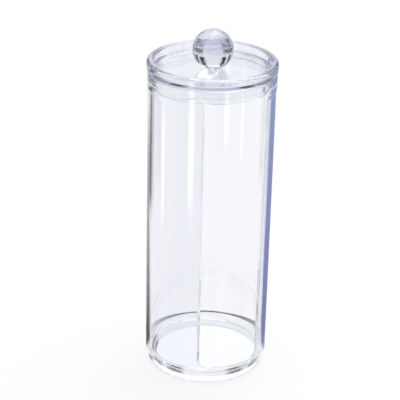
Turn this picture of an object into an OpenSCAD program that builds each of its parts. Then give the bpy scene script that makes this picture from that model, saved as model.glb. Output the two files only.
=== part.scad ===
// Cotton pad dispenser: a tall clear jar with a slot down its front for taking pads out,
// a lift-off lid that plugs into the mouth, and a clear ball for a knob.
// Millimetres, +Z up. The origin is on the table, under the middle of the jar,
// and the slot faces -Y.

/* [Jar] */
// Outside diameter of the straight wall
jar_d = 68.5; // [60:0.5:80]
// Height of the mouth's top edge above the table
jar_h = 168.9; // [100:0.1:220]
// Thickness of the wall
wall = 2.1; // [1.6:0.1:3]
// Height of the inside floor above the table
floor_z = 7.7; // [7:0.1:10]
// Thickness of the floor plate
floor_t = 2.6; // [1.6:0.1:3.2]
// Fillet inside, where the floor meets the wall
floor_fillet = 3; // [1:0.1:5]
// Height where the outside of the wall starts to turn in towards the foot
turn_in_z = 8.5; // [8:0.1:12]
// Radius of that turn
turn_in_r = 6; // [4:0.1:7]

/* [Foot] */
// How far the foot ring stands inside the wall's outside
foot_inset = 1.9; // [1:0.1:3]
// Thickness of the foot ring
foot_t = 2.2; // [1.6:0.1:4]
// Rounding of the edges that the foot stands on
foot_edge_r = 0.5; // [0.1:0.1:0.7]
// Fillet under the floor, where the foot ring meets it
recess_fillet = 1.5; // [0.5:0.1:2.5]

/* [Mouth] */
// How far the lip at the mouth stands proud of the wall
lip_proud = 0.35; // [0.1:0.05:1]
// Height of the lip
lip_h = 3.9; // [2:0.1:8]
// Height over which the lip fades into the wall
lip_fade_h = 1.4; // [0.5:0.1:3]
// Rounding of the mouth's top edges
mouth_edge_r = 0.5; // [0.1:0.1:0.7]

/* [Slot] */
// Width of the slot
slot_w = 34.8; // [20:0.1:44]
// Height of the slot's sill above the inside floor
sill_h = 3.2; // [2:0.1:20]
// Rounding in the slot's two lower corners
slot_low_r = 4.5; // [1:0.1:8]
// Rounding of the wall's two corners where the slot runs out of the mouth
slot_high_r = 4.8; // [1:0.1:8]

/* [Lid] */
// How far the bead round the lid stands outside the jar's wall
bead_overhang = 0.75; // [0.4:0.05:2]
// Height of the bead
bead_h = 5.7; // [4.5:0.1:9]
// Thickness of the bead, from the dish to the outside
bead_t = 3.8; // [3.4:0.1:5]
// Rounding along the top of the bead
bead_top_r = 1.8; // [0.5:0.1:1.9]
// Rounding under the bead, which makes the notch above the band
bead_low_r = 1; // [0.3:0.1:1.8]
// Height of the plain band between the jar's mouth and the bead
band_h = 4.65; // [3:0.05:8]
// Rounding of the band's two edges
band_edge_r = 0.5; // [0.1:0.1:1]
// Depth of the dish in the lid's top, below the bead
dish_depth = 4.9; // [3:0.1:6]
// Thickness of the lid's plate
plate_t = 2.2; // [1.5:0.1:3]
// Fillet round the dish and round the plate's underside
plate_fillet = 1.2; // [0.4:0.1:2]
// How far the plug reaches down into the mouth
plug_depth = 3.7; // [2:0.1:8]
// Thickness of the plug
plug_t = 1.7; // [1.2:0.1:2.4]
// Rounding of the plug's lower edges
plug_edge_r = 0.5; // [0.1:0.1:0.6]

/* [Knob] */
// Diameter of the ball
knob_d = 21.7; // [16:0.1:28]
// Diameter of the flat that the ball stands on
knob_flat_d = 6.4; // [5.6:0.1:9]
// Diameter of the lid's stud inside the ball
stud_d = 4.6; // [3:0.1:5]
// Height of the stud above the dish
stud_h = 4.5; // [3:0.1:7]

/* [Fits] */
// Gap round the plug, so that the lid lifts freely
plug_clearance = 0.3; // [0.1:0.05:0.5]
// Gap between faces that stand on each other
seat_gap = 0.05; // [0.02:0.01:0.2]
// Glue gap round the stud
stud_clearance = 0.1; // [0.05:0.05:0.3]
// Glue gap above the stud
stud_end_gap = 0.3; // [0.1:0.1:0.6]

/* [Hidden] */
$fn = 160;
// Overrun of every cut past the face that it opens
overrun = 1;
// Clear polystyrene, with the faint blue that its edges show
clear_plastic = [0.90, 0.92, 0.97, 0.40];

// Jar
jar_r = jar_d / 2;
bore_r = jar_r - wall;
lip_r = jar_r + lip_proud;
turn_in_low_z = turn_in_z - turn_in_r;
foot_r = jar_r - foot_inset;
recess_r = foot_r - foot_t;
recess_z = floor_z - floor_t;

// Slot
sill_z = floor_z + sill_h;
slot_half = slot_w / 2;

// Lid
band_r = lip_r;
bead_r = jar_r + bead_overhang;
dish_r = bead_r - bead_t;
plug_r = bore_r - plug_clearance;
under_r = plug_r - plug_t;
notch_r = min(bead_r - bead_low_r, band_r - band_edge_r);
band_z = jar_h + seat_gap;
bead_z = band_z + band_h;
bead_top_z = bead_z + bead_h;
dish_z = bead_top_z - dish_depth;
under_z = dish_z - plate_t;
plug_z = jar_h - plug_depth;

// Knob
knob_r = knob_d / 2;
knob_z = dish_z + seat_gap;
knob_centre_z = knob_z + sqrt(pow(knob_r, 2) - pow(knob_flat_d / 2, 2));
stud_r = stud_d / 2;
stud_z = dish_z + stud_h;
socket_r = stud_r + stud_clearance;
socket_z = stud_z + stud_end_gap;

// A half section from the axis out to a radius, with its two outer corners rounded
module rounded_section(radius, low, high, low_r, high_r) {
    difference() {
        translate([0, low])
            square([radius, high - low]);
        translate([radius, low])
            mirror([0, 1])
                corner_shaving(low_r);
        translate([radius, high])
            corner_shaving(high_r);
    }
}

// What is taken off a square corner at the origin to round it, the solid lying at -X -Y
module corner_shaving(radius) {
    difference() {
        translate([-radius, -radius])
            square(radius + overrun);
        translate([-radius, -radius])
            circle(radius);
    }
}

// What is added in an inner corner at the origin to fill it with a fillet, the space lying at +X +Y
module corner_fillet(radius) {
    difference() {
        square(radius);
        translate([radius, radius])
            circle(radius);
    }
}

// Outline of the jar's outside: foot, turn, straight wall and lip
module jar_outside() {
    difference() {
        union() {
            square([foot_r, turn_in_z]);
            translate([0, turn_in_z])
                square([jar_r, jar_h - turn_in_z]);
            translate([0, turn_in_low_z])
                square([jar_r - turn_in_r, turn_in_r]);
            translate([jar_r - turn_in_r, turn_in_z])
                intersection() {
                    circle(turn_in_r);
                    translate([0, -turn_in_r])
                        square(turn_in_r);
                }
            polygon([
                [bore_r, jar_h - lip_h - lip_fade_h],
                [jar_r, jar_h - lip_h - lip_fade_h],
                [lip_r, jar_h - lip_h],
                [lip_r, jar_h],
                [bore_r, jar_h],
            ]);
        }
        translate([lip_r, jar_h])
            corner_shaving(mouth_edge_r);
        translate([foot_r, 0])
            mirror([0, 1])
                corner_shaving(foot_edge_r);
    }
}

// Half section of the jar: the outside, less the hollow inside and the hollow under the floor
module jar_section() {
    difference() {
        jar_outside();
        difference() {
            translate([0, floor_z])
                square([bore_r, jar_h - floor_z + overrun]);
            translate([bore_r, floor_z])
                mirror([1, 0])
                    corner_fillet(floor_fillet);
        }
        difference() {
            translate([0, -overrun])
                square([recess_r, recess_z + overrun]);
            translate([recess_r, recess_z])
                mirror([1, 0])
                    mirror([0, 1])
                        corner_fillet(recess_fillet);
        }
        translate([bore_r, jar_h])
            mirror([1, 0])
                corner_shaving(mouth_edge_r);
        translate([recess_r, 0])
            mirror([1, 0])
                mirror([0, 1])
                    corner_shaving(foot_edge_r);
    }
}

// Front view of the slot: round lower corners, straight sides, and sides that flare at the mouth
module slot_outline() {
    translate([-slot_half, sill_z + slot_low_r])
        square([slot_w, jar_h - sill_z - slot_low_r + overrun]);
    translate([-slot_half + slot_low_r, sill_z])
        square([slot_w - 2 * slot_low_r, 2 * slot_low_r]);
    for (side = [0, 1])
        mirror([side, 0]) {
            translate([slot_half - slot_low_r, sill_z + slot_low_r])
                circle(slot_low_r);
            translate([slot_half, jar_h])
                slot_flare();
        }
}

// The wall's rounded corner beside the slot, drawn at the slot's upper right corner
module slot_flare() {
    difference() {
        translate([-overrun, -slot_high_r])
            square([slot_high_r + overrun, slot_high_r + overrun]);
        translate([slot_high_r, -slot_high_r])
            circle(slot_high_r);
    }
}

// The jar, moulded in one piece: wall, floor and foot ring, with the slot down the front
module jar() {
    color(clear_plastic)
        difference() {
            rotate_extrude()
                jar_section();
            rotate([90, 0, 0])
                linear_extrude(lip_r + overrun)
                    slot_outline();
        }
}

// Half section of the lid: bead, band and plug round a dished plate, with the stud in the middle
module lid_section() {
    difference() {
        union() {
            rounded_section(bead_r, bead_z, bead_top_z, bead_low_r, bead_top_r);
            rounded_section(band_r, band_z, bead_z, band_edge_r, band_edge_r);
            rounded_section(plug_r, plug_z, bead_z, plug_edge_r, plug_edge_r);
            translate([0, band_z + band_edge_r])
                square([notch_r, bead_z + bead_low_r - band_z - band_edge_r]);
        }
        difference() {
            translate([0, dish_z])
                square([dish_r, dish_depth + overrun]);
            translate([dish_r, dish_z])
                mirror([1, 0])
                    corner_fillet(plate_fillet);
        }
        translate([dish_r, bead_top_z])
            mirror([1, 0])
                corner_shaving(bead_top_r);
        difference() {
            translate([0, plug_z - overrun])
                square([under_r, under_z - plug_z + overrun]);
            translate([under_r, under_z])
                mirror([1, 0])
                    mirror([0, 1])
                        corner_fillet(plate_fillet);
        }
        translate([under_r, plug_z])
            mirror([1, 0])
                mirror([0, 1])
                    corner_shaving(plug_edge_r);
    }
    translate([0, under_z])
        square([stud_r, stud_z - under_z]);
}

// The lid, moulded in one piece
module lid() {
    color(clear_plastic)
        rotate_extrude()
            lid_section();
}

// The knob: a clear ball with a small flat under it and a blind socket for the stud
module knob() {
    color(clear_plastic)
        difference() {
            translate([0, 0, knob_centre_z])
                sphere(knob_r);
            translate([-knob_r, -knob_r, knob_z - knob_d])
                cube(knob_d);
            translate([0, 0, knob_z - overrun])
                cylinder(h = socket_z - knob_z + overrun, r = socket_r);
        }
}

jar();
lid();
knob();
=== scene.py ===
from math import asin, atan2, copysign, cos, pi, radians, sin, sqrt, tan

import bmesh
import bpy
from mathutils import Matrix, Vector


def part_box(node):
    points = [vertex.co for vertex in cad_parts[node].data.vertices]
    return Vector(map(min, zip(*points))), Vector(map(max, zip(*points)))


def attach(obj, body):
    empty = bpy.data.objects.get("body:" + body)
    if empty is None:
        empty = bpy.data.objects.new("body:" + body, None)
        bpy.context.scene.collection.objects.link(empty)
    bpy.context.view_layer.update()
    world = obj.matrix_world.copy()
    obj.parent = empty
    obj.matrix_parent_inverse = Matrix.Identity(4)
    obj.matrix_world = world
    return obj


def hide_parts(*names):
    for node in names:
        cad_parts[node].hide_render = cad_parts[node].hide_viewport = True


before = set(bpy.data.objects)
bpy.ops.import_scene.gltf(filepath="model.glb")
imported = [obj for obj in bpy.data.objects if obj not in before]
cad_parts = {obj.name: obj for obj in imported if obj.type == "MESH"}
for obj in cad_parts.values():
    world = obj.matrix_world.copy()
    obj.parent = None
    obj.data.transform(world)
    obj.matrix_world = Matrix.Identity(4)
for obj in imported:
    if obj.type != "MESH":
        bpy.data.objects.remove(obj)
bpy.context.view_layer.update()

scene = bpy.context.scene
scene.view_settings.view_transform = "Standard"

mm = 0.001


# The camera
# A long lens looks down on the dispenser from its front left, so that the slot opens to the right.
# Its place, tilt and slight roll were fitted to the circles in the photograph.
view_turn = radians(-25.5)
view_tilt = radians(24.38)
view_roll = radians(1.37)
view_distance = 778.0 * mm
view_height = 97.5 * mm
view_aside = -4.96 * mm
sensor_width = 36.0
lens = 127.1


def around(turn, distance, height):
    """A place round the jar's axis: turn is 0 towards the camera and positive to its right."""
    angle = view_turn + turn
    return Vector((distance * sin(angle), -distance * cos(angle), height))


ahead = around(pi, cos(view_tilt), -sin(view_tilt))
level_right = around(pi / 2, 1.0, 0.0)
level_up = level_right.cross(ahead)
camera_right = cos(view_roll) * level_right + sin(view_roll) * level_up
camera_up = cos(view_roll) * level_up - sin(view_roll) * level_right
target = view_aside * level_right + Vector((0.0, 0.0, view_height))

camera = bpy.data.objects.new("camera", bpy.data.cameras.new("camera"))
camera.data.sensor_width = sensor_width
camera.data.lens = lens
turned = Matrix((camera_right, camera_up, -ahead)).transposed().to_4x4()
camera.matrix_world = Matrix.Translation(target - view_distance * ahead) @ turned
scene.collection.objects.link(camera)
scene.camera = camera


# The jar
# One clear moulding: a straight wall on a raised floor and a foot ring, with a lip at its mouth.
# A slot as wide as two fingers runs down its front, open at the mouth, with rounded corners.
# The edges of the mouth and of the slot are rounded right across the wall.
jar_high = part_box("jar")[1]
mouth_z = jar_high.z
lip_r = jar_high.x
lip_proud = 0.35 * mm
lip_h = 3.9 * mm
lip_fade_h = 1.4 * mm
lip_blend_r = 3.0 * mm
jar_r = lip_r - lip_proud
wall = 2.1 * mm
bore_r = jar_r - wall
floor_z = 7.7 * mm
floor_t = 2.6 * mm
floor_fillet = 3.0 * mm
turn_in_z = 8.5 * mm
turn_in_r = 6.0 * mm
turn_in_steps = 12
foot_inset = 1.9 * mm
foot_t = 2.2 * mm
foot_edge_r = 0.5 * mm
foot_crease_r = 0.6 * mm
foot_r = jar_r - foot_inset
recess_r = foot_r - foot_t
recess_z = floor_z - floor_t
recess_fillet = 1.5 * mm
slot_half = 17.4 * mm
sill_h = 3.2 * mm
sill_z = floor_z + sill_h
slot_low_r = 4.5 * mm
slot_high_r = 4.8 * mm
rim_half = wall / 2
rim_turn = radians(75)
rim_r = rim_half / sin(rim_turn)
rim_steps = 7
spin_steps = 240
weld = 0.002 * mm
smooth_angle = radians(40)


def draw_chain(name, places):
    """A new object whose mesh is one chain of edges through the places, drawn vertex by vertex."""
    bpy.ops.object.select_all(action="DESELECT")
    bpy.ops.mesh.primitive_plane_add(size=mm, location=(0, 0, 0))
    piece = bpy.context.object
    piece.name = name
    piece.data.name = name
    bpy.ops.object.mode_set(mode="EDIT")
    bpy.ops.mesh.merge(type="CENTER")
    bpy.ops.transform.translate(value=places[0])
    for here, there in zip(places, places[1:]):
        bpy.ops.mesh.extrude_vertices_move(TRANSFORM_OT_translate={"value": there - here})
    bpy.ops.mesh.select_all(action="SELECT")
    bpy.ops.mesh.remove_doubles(threshold=weld)
    return piece


def round_vertex(piece, place, radius, turn=pi / 2, steps=8):
    """Rounds the outline's corner at the place to the radius. turn is how far the outline turns there."""
    mesh = bmesh.from_edit_mesh(piece.data)
    mesh.select_mode = {"VERT"}
    for vertex in mesh.verts:
        vertex.select_set((vertex.co - place).length < weld)
    mesh.select_flush_mode()
    bmesh.update_edit_mesh(piece.data)
    bpy.ops.mesh.bevel(
        offset=radius * tan(turn / 2), offset_type="OFFSET", segments=steps,
        profile=0.5, affect="VERTICES", clamp_overlap=False,
    )


def at(radius, height):
    """A place in the half section, on the +X side of the axis."""
    return Vector((radius, 0.0, height))


def spin_section():
    """Turns the half section in hand once round the axis, into a closed skin that faces outwards."""
    bpy.ops.mesh.select_all(action="SELECT")
    bpy.ops.mesh.spin(steps=spin_steps, angle=2 * pi, center=(0, 0, 0), axis=(0, 0, 1))
    bpy.ops.mesh.select_all(action="SELECT")
    bpy.ops.mesh.remove_doubles(threshold=weld)
    bpy.ops.mesh.normals_make_consistent(inside=False)
    bpy.ops.object.mode_set(mode="OBJECT")


def take(piece):
    """Selects this piece alone and makes it the active one."""
    bpy.ops.object.select_all(action="DESELECT")
    piece.select_set(True)
    bpy.context.view_layer.objects.active = piece


def apply(piece, kind, **settings):
    """Adds a modifier with these settings and applies it."""
    take(piece)
    modifier = piece.modifiers.new(kind.lower(), kind)
    for name, value in settings.items():
        setattr(modifier, name, value)
    bpy.ops.object.modifier_apply(modifier=modifier.name)


def polish(piece):
    """Smooth shading over all but sharp edges, with large faces kept flat."""
    take(piece)
    bpy.ops.object.shade_smooth_by_angle(angle=smooth_angle)
    apply(piece, "WEIGHTED_NORMAL", keep_sharp=True, weight=50)


def rim_drop(share):
    """How far a rounded rim falls back, at a share of the way from the middle of the wall to its face."""
    inside = min(abs(share), 1.0) * rim_half
    outside = max(abs(share) - 1.0, 0.0) * rim_half
    return rim_r - sqrt(rim_r ** 2 - inside ** 2) + outside


def wall_radius(share, height):
    """A radius within the wall: -1 is its inner face, 1 its outer face at that height, lip counted in."""
    fade = (height - mouth_z + lip_h + lip_fade_h) / lip_fade_h
    outside = jar_r + lip_proud * min(max(fade, 0.0), 1.0)
    return (bore_r + outside) / 2 + share * (outside - bore_r) / 2


rim_shares = [
    sin(rim_turn * step / rim_steps) / sin(rim_turn)
    for step in range(-rim_steps, rim_steps + 1)
]
foot_turn = asin((foot_r - jar_r + turn_in_r) / turn_in_r)
turn_in = [
    at(jar_r - turn_in_r * (1 - sin(angle)), turn_in_z - turn_in_r * cos(angle))
    for angle in (
        foot_turn + (pi / 2 - foot_turn) * step / turn_in_steps for step in range(turn_in_steps + 1)
    )
]
wall_rows = [height * mm for height in (20, 50, 90, 130, 158)]
jar = draw_chain("clear_jar", [
    at(0, floor_z),
    at(bore_r, floor_z),
    *(at(bore_r, height) for height in wall_rows),
    *(at(wall_radius(share, mouth_z), mouth_z - rim_drop(share)) for share in rim_shares),
    at(lip_r, mouth_z - lip_h),
    at(jar_r, mouth_z - lip_h - lip_fade_h),
    *(at(jar_r, height) for height in reversed(wall_rows)),
    *reversed(turn_in),
    at(foot_r, 0),
    at(recess_r, 0),
    at(recess_r, recess_z),
    at(0, recess_z),
])
lip_turn = atan2(lip_proud, lip_fade_h)
round_vertex(jar, at(bore_r, floor_z), floor_fillet, steps=12)
round_vertex(jar, at(lip_r, mouth_z - lip_h), lip_blend_r, lip_turn, steps=4)
round_vertex(jar, at(jar_r, mouth_z - lip_h - lip_fade_h), lip_blend_r, lip_turn, steps=4)
round_vertex(jar, turn_in[0], foot_crease_r, pi / 2 - foot_turn, steps=5)
round_vertex(jar, at(foot_r, 0), foot_edge_r, steps=6)
round_vertex(jar, at(recess_r, 0), foot_edge_r, steps=6)
round_vertex(jar, at(recess_r, recess_z), recess_fillet)
spin_section()


def facing(across, height):
    """A place on the slot's front view, on the jar's middle plane."""
    return Vector((across, 0.0, height))


overrun = 6.0 * mm
flare_reach = slot_half + slot_high_r + overrun
flare_lift = 0.02 * mm
flare_z = mouth_z + flare_lift
side_rows = [height * mm for height in range(20, 161, 10)]
sill_places = [across * mm for across in range(-12, 13)]
right_side = [
    facing(slot_half, sill_z),
    *(facing(slot_half, height) for height in side_rows),
    facing(slot_half, flare_z),
    facing(flare_reach, flare_z),
    facing(flare_reach, flare_z + overrun),
]
left_side = [facing(-place.x, place.z) for place in reversed(right_side)]
sill = [facing(across, sill_z) for across in sill_places]
cutter = draw_chain("slot_cutter", [*right_side, *left_side, *sill, right_side[0]])
for side in (-1, 1):
    round_vertex(cutter, facing(side * slot_half, sill_z), slot_low_r, steps=16)
    round_vertex(cutter, facing(side * slot_half, flare_z), slot_high_r, steps=16)


def slot_outward(place):
    """The way out of the slot's outline at a place on it, in the front view."""
    side = copysign(1.0, place.x)
    across = abs(place.x)
    low_centre = facing(side * (slot_half - slot_low_r), sill_z + slot_low_r)
    high_centre = facing(side * (slot_half + slot_high_r), flare_z - slot_high_r)
    if place.z > flare_z + weld:
        return Vector((0, 0, 0))
    if place.z < low_centre.z and across > abs(low_centre.x):
        return (place - low_centre).normalized()
    if place.z > high_centre.z and across < abs(high_centre.x):
        return (high_centre - place).normalized()
    if place.z < sill_z + weld or place.z > flare_z - weld:
        return Vector((0, 0, -1))
    return Vector((side, 0, 0))


# The cutter is a tube of layers. Each lies at its own radius in the wall, and is as much wider there
# as the rounded rim falls back.
past_wall_share = 1.4
layer_shares = [-past_wall_share, -past_wall_share, *rim_shares, past_wall_share, past_wall_share]
layer_gap = 1.0 * mm
bpy.ops.mesh.select_all(action="SELECT")
bpy.ops.mesh.edge_face_add()
for share in layer_shares[1:]:
    bpy.ops.mesh.extrude_region_move(TRANSFORM_OT_translate={"value": (0, -layer_gap, 0)})
tube = bmesh.from_edit_mesh(cutter.data)
for vertex in tube.verts:
    layer = round(-vertex.co.y / layer_gap)
    flat = facing(vertex.co.x, vertex.co.z)
    place = flat + slot_outward(flat) * rim_drop(layer_shares[layer])
    if layer == len(layer_shares) - 1:
        place.y = -lip_r - overrun
    elif layer > 0:
        place.y = -sqrt(wall_radius(layer_shares[layer], place.z) ** 2 - place.x ** 2)
    vertex.co = place
bmesh.update_edit_mesh(cutter.data)
bpy.ops.mesh.select_all(action="SELECT")
bpy.ops.mesh.normals_make_consistent(inside=False)
bpy.ops.object.mode_set(mode="OBJECT")
apply(jar, "BOOLEAN", object=cutter, operation="DIFFERENCE", solver="EXACT")
bpy.data.objects.remove(cutter)
polish(jar)


class Wire:
    """A shader socket that takes part in sums: an expression on wires adds its Math nodes."""

    def __init__(self, finish, socket):
        self.finish = finish
        self.socket = socket

    def combine(self, operation, first, second):
        node = self.finish.make("ShaderNodeMath", {0: first, 1: second}, operation=operation)
        return self.finish.pick(node, "Value")

    def __add__(self, other):
        return self.combine("ADD", self, other)

    def __radd__(self, other):
        return self.combine("ADD", other, self)

    def __sub__(self, other):
        return self.combine("SUBTRACT", self, other)

    def __rsub__(self, other):
        return self.combine("SUBTRACT", other, self)

    def __mul__(self, other):
        return self.combine("MULTIPLY", self, other)

    def __rmul__(self, other):
        return self.combine("MULTIPLY", other, self)

    def __or__(self, other):
        return self.combine("MAXIMUM", self, other)


class Finish:
    """The node tree of a material or of the world, with one method that makes any node."""

    def __init__(self, owner):
        owner.use_nodes = True
        self.tree = owner.node_tree
        self.tree.nodes.clear()

    def make(self, kind, inputs=None, **settings):
        """A node of that kind: its settings are set first, then its inputs get values or links."""
        node = self.tree.nodes.new(kind)
        for name, value in settings.items():
            setattr(node, name, value)
        for name, value in (inputs or {}).items():
            value = getattr(value, "socket", value)
            if isinstance(value, bpy.types.NodeSocket):
                self.tree.links.new(value, node.inputs[name])
            else:
                node.inputs[name].default_value = value
        return node

    def pick(self, node, output):
        """One output of a node, as a wire."""
        return Wire(self, node.outputs[output])

    def fade(self, value, start, end, top=1.0):
        """A smooth rise from 0, where the value is at start, to top, where it is at end."""
        node = self.make("ShaderNodeMapRange", {
            "Value": value, "From Min": start, "From Max": end, "To Max": top,
        }, interpolation_type="SMOOTHSTEP")
        return self.pick(node, "Result")

    def blend(self, share, first, second):
        """A colour that goes from the first to the second as the share goes from 0 to 1."""
        node = self.make("ShaderNodeMix", {"Factor": share, "A": first, "B": second}, data_type="RGBA")
        return self.pick(node, "Result")


flow_deep_tint = (0.900, 0.908, 0.938, 1.0)
flow_pale_tint = (0.930, 0.938, 0.962, 1.0)
depth_colour = (0.0, 0.05, 0.42, 1.0)
plastic_index = 1.59
smudge_scale = 45.0
smudge_roughness = 0.035


def clear_plastic(name, depth, grain, wave):
    """Clear moulded polystyrene. Its blue shows where light goes a long way through it: depth is how
    strongly, per metre. grain stretches the flow lines of the mould, and wave is how high they stand."""
    material = bpy.data.materials.new(name)
    finish = Finish(material)
    place = finish.pick(finish.make("ShaderNodeTexCoord"), "Object")
    stretched = finish.make("ShaderNodeMapping", {"Vector": place, "Scale": grain})
    flow_noise = finish.make("ShaderNodeTexNoise", {
        "Vector": finish.pick(stretched, "Vector"), "Scale": 1.0, "Detail": 2.0, "Roughness": 0.45,
    })
    flow = finish.pick(flow_noise, "Fac")
    smudge_noise = finish.make("ShaderNodeTexNoise", {
        "Vector": place, "Scale": smudge_scale, "Detail": 4.0, "Roughness": 0.6,
    })
    ripple = finish.make("ShaderNodeBump", {"Height": flow, "Strength": 1.0, "Distance": wave})
    shader = finish.make("ShaderNodeBsdfPrincipled", {
        "Base Color": finish.blend(flow, flow_deep_tint, flow_pale_tint),
        "Roughness": finish.fade(finish.pick(smudge_noise, "Fac"), 0.55, 0.75, smudge_roughness),
        "Normal": finish.pick(ripple, "Normal"),
        "IOR": plastic_index,
        "Transmission Weight": 1.0,
    })
    inside = finish.make("ShaderNodeVolumeAbsorption", {"Color": depth_colour, "Density": depth})
    finish.make("ShaderNodeOutputMaterial", {
        "Surface": finish.pick(shader, "BSDF"), "Volume": finish.pick(inside, "Volume"),
    })
    return material


jar_depth = 0.08
jar_grain = (90.0, 90.0, 7.0)
jar_wave = 0.05 * mm
jar.data.materials.append(clear_plastic("jar_plastic", jar_depth, jar_grain, jar_wave))
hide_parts("jar")
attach(jar, "jar")


# The lid
# One clear moulding that lifts off: a thick bead and a plain band round a dished plate.
# Its plug goes down into the jar's mouth, and the knob's stud stands in the middle of the dish.
lid_low, lid_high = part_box("lid")
bead_r = lid_high.x
bead_top_z = lid_high.z
bead_h = 5.7 * mm
bead_t = 3.8 * mm
bead_z = bead_top_z - bead_h
bead_top_r = 1.8 * mm
bead_low_r = 1.0 * mm
dish_depth = 4.9 * mm
dish_r = bead_r - bead_t
dish_z = bead_top_z - dish_depth
plate_t = 2.2 * mm
plate_fillet = 1.2 * mm
under_z = dish_z - plate_t
seat_gap = 0.05 * mm
band_r = lip_r
band_z = mouth_z + seat_gap
band_edge_r = 0.5 * mm
notch_r = bead_r - bead_low_r
plug_clearance = 0.3 * mm
plug_t = 1.7 * mm
plug_r = bore_r - plug_clearance
under_r = plug_r - plug_t
plug_z = lid_low.z
plug_edge_r = 0.5 * mm
plug_root_r = 0.2 * mm
stud_r = 2.3 * mm
stud_h = 4.5 * mm
stud_z = dish_z + stud_h
stud_edge_r = 0.4 * mm

lid = draw_chain("clear_lid", [
    at(0, stud_z),
    at(stud_r, stud_z),
    at(stud_r, dish_z),
    at(dish_r, dish_z),
    at(dish_r, bead_top_z),
    at(bead_r, bead_top_z),
    at(bead_r, bead_z),
    at(notch_r, bead_z),
    at(band_r, bead_z),
    at(band_r, band_z),
    at(plug_r, band_z),
    at(plug_r, plug_z),
    at(under_r, plug_z),
    at(under_r, under_z),
    at(0, under_z),
])
for place, radius in (
    (at(stud_r, stud_z), stud_edge_r),
    (at(dish_r, dish_z), plate_fillet),
    (at(dish_r, bead_top_z), bead_top_r),
    (at(bead_r, bead_top_z), bead_top_r),
    (at(bead_r, bead_z), bead_low_r),
    (at(band_r, bead_z), band_edge_r),
    (at(band_r, band_z), band_edge_r),
    (at(plug_r, band_z), plug_root_r),
    (at(plug_r, plug_z), plug_edge_r),
    (at(under_r, plug_z), plug_edge_r),
    (at(under_r, under_z), plate_fillet),
):
    round_vertex(lid, place, radius)
spin_section()
polish(lid)

lid_depth = 8.0
lid_grain = (60.0, 60.0, 60.0)
lid_wave = 0.012 * mm
lid.data.materials.append(clear_plastic("lid_plastic", lid_depth, lid_grain, lid_wave))
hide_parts("lid")
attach(lid, "lid")


# The knob
# A solid clear ball, moulded with a small flat and a blind socket under it.
# It is glued down on the lid's stud, with the flat on the dish.
knob_low, knob_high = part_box("knob")
knob_r = knob_high.x
knob_z = knob_low.z
knob_centre_z = knob_high.z - knob_r
stud_clearance = 0.1 * mm
stud_end_gap = 0.3 * mm
socket_r = stud_r + stud_clearance
socket_z = stud_z + stud_end_gap
socket_edge_r = 0.4 * mm
ball_steps = 72

lowest_turn = -asin((knob_centre_z - knob_z) / knob_r)
ball = [
    at(knob_r * cos(turn), knob_centre_z + knob_r * sin(turn))
    for turn in (
        lowest_turn + (pi / 2 - lowest_turn) * step / ball_steps for step in range(ball_steps)
    )
]
knob = draw_chain("clear_knob", [
    at(0, socket_z),
    at(socket_r, socket_z),
    at(socket_r, knob_z),
    *ball,
    at(0, knob_high.z),
])
round_vertex(knob, at(socket_r, socket_z), socket_edge_r)
spin_section()
polish(knob)

knob_depth = 9.0
knob_grain = (330.0, 330.0, 55.0)
knob_wave = 0.4 * mm
knob.data.materials.append(clear_plastic("knob_plastic", knob_depth, knob_grain, knob_wave))
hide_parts("knob")
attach(knob, "lid")


# The table
# A white table top that runs out of sight under the dispenser and takes its soft shadow.
# Its two far corners carry a painted reflection: they are dark only in and through the plastic, so that
# dark lines draw along the clear edges.
bounces = 512
scene.cycles.max_bounces = bounces
scene.cycles.glossy_bounces = bounces
scene.cycles.transmission_bounces = bounces

table_r = 4.0
table_grey = (0.16, 0.16, 0.16, 1.0)
table_glow = 0.845
reflection_dark_colour = (0.01, 0.01, 0.015, 1.0)
corner_edge = 7.0
white = (1.0, 1.0, 1.0, 1.0)
round_sides = 128


def light_path(finish):
    """Two masks: rays straight from the camera, and rays that the plastic reflects or lets through."""
    path = finish.make("ShaderNodeLightPath")
    through = finish.pick(path, "Is Glossy Ray") | finish.pick(path, "Is Transmission Ray")
    return finish.pick(path, "Is Camera Ray"), through


def bearing(finish, axes):
    """How far a place or a direction is turned to the right of straight behind, in radians."""
    node = finish.make("ShaderNodeMath", {
        0: finish.pick(axes, "X"), 1: finish.pick(axes, "Y"),
    }, operation="ARCTAN2")
    return finish.pick(node, "Value") + view_turn


def lay_disc(name, radius):
    """A flat disc round the axis, at the height of the table."""
    bpy.ops.object.select_all(action="DESELECT")
    bpy.ops.mesh.primitive_circle_add(
        vertices=round_sides, radius=radius, fill_type="NGON", location=(0, 0, 0),
    )
    disc = bpy.context.object
    disc.name = name
    return disc


table = lay_disc("table", table_r)
table_top = bpy.data.materials.new("white_table")
finish = Finish(table_top)
direct, through = light_path(finish)
place = finish.pick(finish.make("ShaderNodeTexCoord"), "Object")
axes = finish.make("ShaderNodeSeparateXYZ", {"Vector": place})
reach = finish.make("ShaderNodeVectorMath", {0: place}, operation="LENGTH")
turn = bearing(finish, axes)


def painted_corner_reflection(middle, half, start, length):
    """How strongly the painted dark reflection covers the table round a turn to the right of behind, in
    degrees, from a distance outwards, in millimetres. half is how wide the corner is to each side, and it
    darkens over the length."""
    off = finish.make("ShaderNodeMath", {0: turn - radians(middle)}, operation="ABSOLUTE")
    across = finish.fade(finish.pick(off, "Value"), radians(half), radians(half - corner_edge))
    outwards = finish.fade(finish.pick(reach, "Value"), start * mm, (start + length) * mm)
    return across * outwards


# Painted reflection: the far corners darken only for rays that the plastic reflects or lets through.
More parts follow.
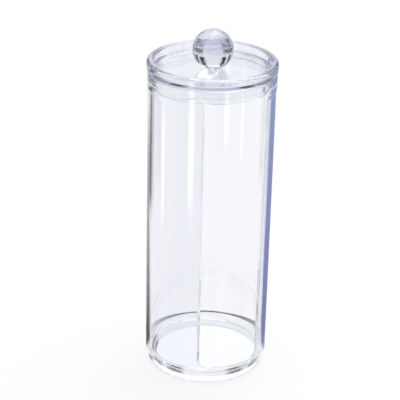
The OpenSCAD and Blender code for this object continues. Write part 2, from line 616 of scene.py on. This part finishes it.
left_corner_reflection = painted_corner_reflection(-46, 16, 200, 60) | painted_corner_reflection(-42, 24, 520, 120)
right_corner_reflection = painted_corner_reflection(44, 16, 200, 60) | painted_corner_reflection(42, 24, 520, 120)
left_done = finish.blend(left_corner_reflection * through, white, reflection_dark_colour)
both_done = finish.blend(right_corner_reflection * through, left_done, reflection_dark_colour)
lit = finish.make("ShaderNodeBsdfDiffuse", {"Color": table_grey})
glow = finish.make("ShaderNodeEmission", {"Color": both_done, "Strength": (direct | through) * table_glow})
surface = finish.make("ShaderNodeAddShader", {0: lit.outputs[0], 1: glow.outputs[0]})
finish.make("ShaderNodeOutputMaterial", {"Surface": surface.outputs[0]})
table.data.materials.append(table_top)


# The room
# To the camera it is plain white. In and through the plastic it has dark walls with bright windows
# all round and a dim ceiling. One broad soft box hangs high up behind.
window_count = 5
window_edge = 0.25
slit_count = 2 * window_count
slit_edge = (0.70, 0.98)
horizon = (0.05, 0.02)
ceiling_edge = (0.42, 0.72)
wall_dark = (0.02, 0.02, 0.03, 1.0)
ceiling_dim = (0.42, 0.46, 0.56, 1.0)
fill_colour = (0.95, 0.97, 1.0, 1.0)
fill_strength = 0.72

world = bpy.data.worlds.new("studio")
scene.world = world
room = Finish(world)
direct, through = light_path(room)
axes = room.make("ShaderNodeSeparateXYZ", {
    "Vector": room.pick(room.make("ShaderNodeTexCoord"), "Generated"),
})
turn = bearing(room, axes)
height = room.pick(axes, "Z")


def opening(count, start, end):
    """Bright openings, so many evenly round the room, with one of them straight behind."""
    wave = room.make("ShaderNodeMath", {0: turn * count}, operation="COSINE")
    return room.fade(room.pick(wave, "Value"), start, end)


windows = opening(window_count, -window_edge, window_edge) | opening(slit_count, *slit_edge)
bright = windows | room.fade(height, *horizon)
walls = room.blend(bright, wall_dark, white)
inside = room.blend(room.fade(height, *ceiling_edge), walls, ceiling_dim)
backdrop = room.make("ShaderNodeBackground", {"Color": room.blend(direct, inside, white), "Strength": 1.0})
fill = room.make("ShaderNodeBackground", {"Color": fill_colour, "Strength": fill_strength})
chosen = room.make("ShaderNodeMixShader", {0: direct | through, 1: fill.outputs[0], 2: backdrop.outputs[0]})
room.make("ShaderNodeOutputWorld", {"Surface": chosen.outputs[0]})

box_turn = radians(150)
box_distance = 0.5
box_height = 1.1
box_size = 0.9
box_power = 6.0
lamp = bpy.data.lights.new("top_box", "AREA")
lamp.size = box_size
lamp.energy = box_power
soft_box = bpy.data.objects.new("top_box", lamp)
soft_box.location = around(box_turn, box_distance, box_height)
aim = Vector((0.0, 0.0, view_height)) - soft_box.location
soft_box.rotation_euler = aim.to_track_quat("-Z", "Y").to_euler()
scene.collection.objects.link(soft_box)


# The cards
# Blue, dark and bright cards stand and lie near the jar, as is done for clear ware. The blue and dark ones
# are painted reflections: they draw the blue edge and the dark edge lines in the plastic.
# Only what is reflected in the plastic or seen through it shows them: the camera doesn't.
card_top = 172
shade_z = 0.25
front_sheet_z = 0.3
front_grey = (0.56, 0.57, 0.61, 1.0)
painted_foot_shade = (0.08, 0.08, 0.10, 1.0)
edge_dark = (0.05, 0.05, 0.06, 1.0)
edge_pale = (0.66, 0.66, 0.68, 1.0)
strip_glow = 3.0
strip_end_fade = 0.25


def show_glow(sheet, finish, colour, strength, shown):
    """A sheet that glows where it is shown, is clear elsewhere, and is out of the camera's sight."""
    glow = finish.make("ShaderNodeEmission", {"Color": colour, "Strength": strength})
    clear = finish.make("ShaderNodeBsdfTransparent")
    surface = finish.make("ShaderNodeMixShader", {0: shown, 1: clear.outputs[0], 2: glow.outputs[0]})
    finish.make("ShaderNodeOutputMaterial", {"Surface": surface.outputs[0]})
    sheet.visible_camera = False
    sheet.visible_diffuse = False
    sheet.visible_shadow = False


def spot(aside, behind, height):
    """A place in millimetres, seen from the camera: aside to the right of the axis and behind it."""
    return around(pi / 2, aside * mm, 0.0) + around(pi, behind * mm, height * mm)


def card(name, corners, foot_colour, head_colour, strength=1.0, soft=(0.0, 0.0), one_sided=False):
    """A flat card with four corners: two along its foot, then the two above them. soft is the share
    of its width and of its height over which it fades out at each edge. A one-sided card shows only
    on the right of its foot, seen from the first corner towards the second."""
    bpy.ops.object.select_all(action="DESELECT")
    bpy.ops.mesh.primitive_plane_add(size=1.0, location=(0, 0, 0))
    sheet = bpy.context.object
    sheet.name = name
    for vertex, place in zip(sheet.data.vertices, corners):
        vertex.co = spot(*place)
    material = bpy.data.materials.new(name)
    sheet.data.materials.append(material)
    finish = Finish(material)
    axes = finish.make("ShaderNodeSeparateXYZ", {
        "Vector": finish.pick(finish.make("ShaderNodeTexCoord"), "UV"),
    })
    across = finish.pick(axes, "X")
    upwards = finish.pick(axes, "Y")
    shown = 1.0
    if one_sided:
        shown = 1.0 - finish.pick(finish.make("ShaderNodeNewGeometry"), "Backfacing")
    for distance, share in zip((across, upwards), soft):
        if share:
            for inset in (distance, 1.0 - distance):
                shown = finish.fade(inset, 0.0, share) * shown
    show_glow(sheet, finish, finish.blend(upwards, foot_colour, head_colour), strength, shown)


def standing(first, second, low, high):
    """The corners of a card that stands upright between two places."""
    return [(*first, low), (*second, low), (*first, high), (*second, high)]


def lying(left, right, near, far, height):
    """The corners of a sheet that lies level, from its edge near the camera to its far edge."""
    return [(left, near, height), (right, near, height), (left, far, height), (right, far, height)]


def along(start, turn, length):
    """The ends of a card's foot, which runs from a place at a turn to the right of behind."""
    return start, (start[0] + length * sin(radians(turn)), start[1] + length * cos(radians(turn)))


# Painted reflection: a grey sheet on the table in front dims what the walls reflect, fading to white away
# from the jar.
card("front_sheet", lying(-500, 500, -700, -50, front_sheet_z), front_grey, white, soft=(0.3, 0.2))
# Painted reflection: these blue cards stand close to the jar's right side and paint its blue edge in and
# through the plastic.
for name, start, turn, length, foot_blue, head_blue in (
    ("blue_card", (31.2, 14.8), 20.5, 40, (0.25, 0.27, 0.52, 1.0), (0.25, 0.34, 0.58, 1.0)),
    ("right_edge_card", (34.6, 1), 58, 44, (0.20, 0.21, 0.42, 1.0), (0.30, 0.35, 0.56, 1.0)),
    ("far_blue_card", (44, 20.6), 62, 94, (0.22, 0.24, 0.50, 1.0), (0.30, 0.38, 0.62, 1.0)),
):
    foot_ends = along(start, turn, length)
    card(name, standing(*foot_ends, 0, card_top), foot_blue, head_blue, one_sided=True)
# Painted shade: a dark sheet under the jar's left edge stands in for its contact shadow, seen only in and
# through the plastic.
card("left_foot_shade", [
    (-26.8, 15.5, shade_z), (-31.2, 18, shade_z), (-29.1, -10.6, shade_z), (-33.8, -12.3, shade_z),
], painted_foot_shade, painted_foot_shade, soft=(0.2, 0.3))
# Painted reflection: this card, dark at its foot and pale at its head, draws the dark line down the jar's
# left edge.
card("left_edge_card", [
    (-50, 10.7, 0), (-34.9, 2, 0), (-35.5, 2.35, card_top), (-34.9, 2, card_top),
], edge_dark, edge_pale, one_sided=True)
for name, first, second, low, high, side_fade in (
    ("main_strip", (-142, -164), (-93, -196), 0, 190, 0.45),
    ("left_strip", (-78, -13.5), (-72, -20.5), 60, 150, 0.4),
):
    strip_corners = standing(first, second, low, high)
    card(name, strip_corners, white, white, strip_glow, soft=(side_fade, strip_end_fade))


# The patches on the table
# The plastic darkens the table in a ring behind the jar, and gathers light on it under the floor.
# A dark half ring and a bright disc, just above the table, stand in for both.
patch_z = 0.2 * mm
shade_ring_r = 51.5 * mm
shade_ring_w = 8.0 * mm
shade_colour = (0.15, 0.14, 0.20, 1.0)
light_disc_r = 29.5 * mm
light_glow = 1.13


def table_patch(name, radius):
    """A disc just above the table, in edit mode, with its finish begun."""
    patch = lay_disc(name, radius)
    material = bpy.data.materials.new(name)
    patch.data.materials.append(material)
    bpy.ops.object.mode_set(mode="EDIT")
    bpy.ops.transform.translate(value=(0, 0, patch_z))
    return patch, Finish(material)


shade_ring, finish = table_patch("contact_shade", shade_ring_r)
bpy.ops.mesh.inset(thickness=shade_ring_w, depth=0.0)
bpy.ops.mesh.delete(type="FACE")
bpy.ops.object.mode_set(mode="OBJECT")
axes = finish.make("ShaderNodeSeparateXYZ", {
    "Vector": finish.pick(finish.make("ShaderNodeTexCoord"), "Object"),
})
behind = around(pi, 1.0, 0.0)
depth = finish.pick(axes, "X") * behind.x + finish.pick(axes, "Y") * behind.y
show_glow(shade_ring, finish, shade_colour, 1.0, finish.fade(depth, 0.0, shade_ring_r))

light_disc, finish = table_patch("gathered_light", light_disc_r)
bpy.ops.object.mode_set(mode="OBJECT")
show_glow(light_disc, finish, white, light_glow, 1.0)
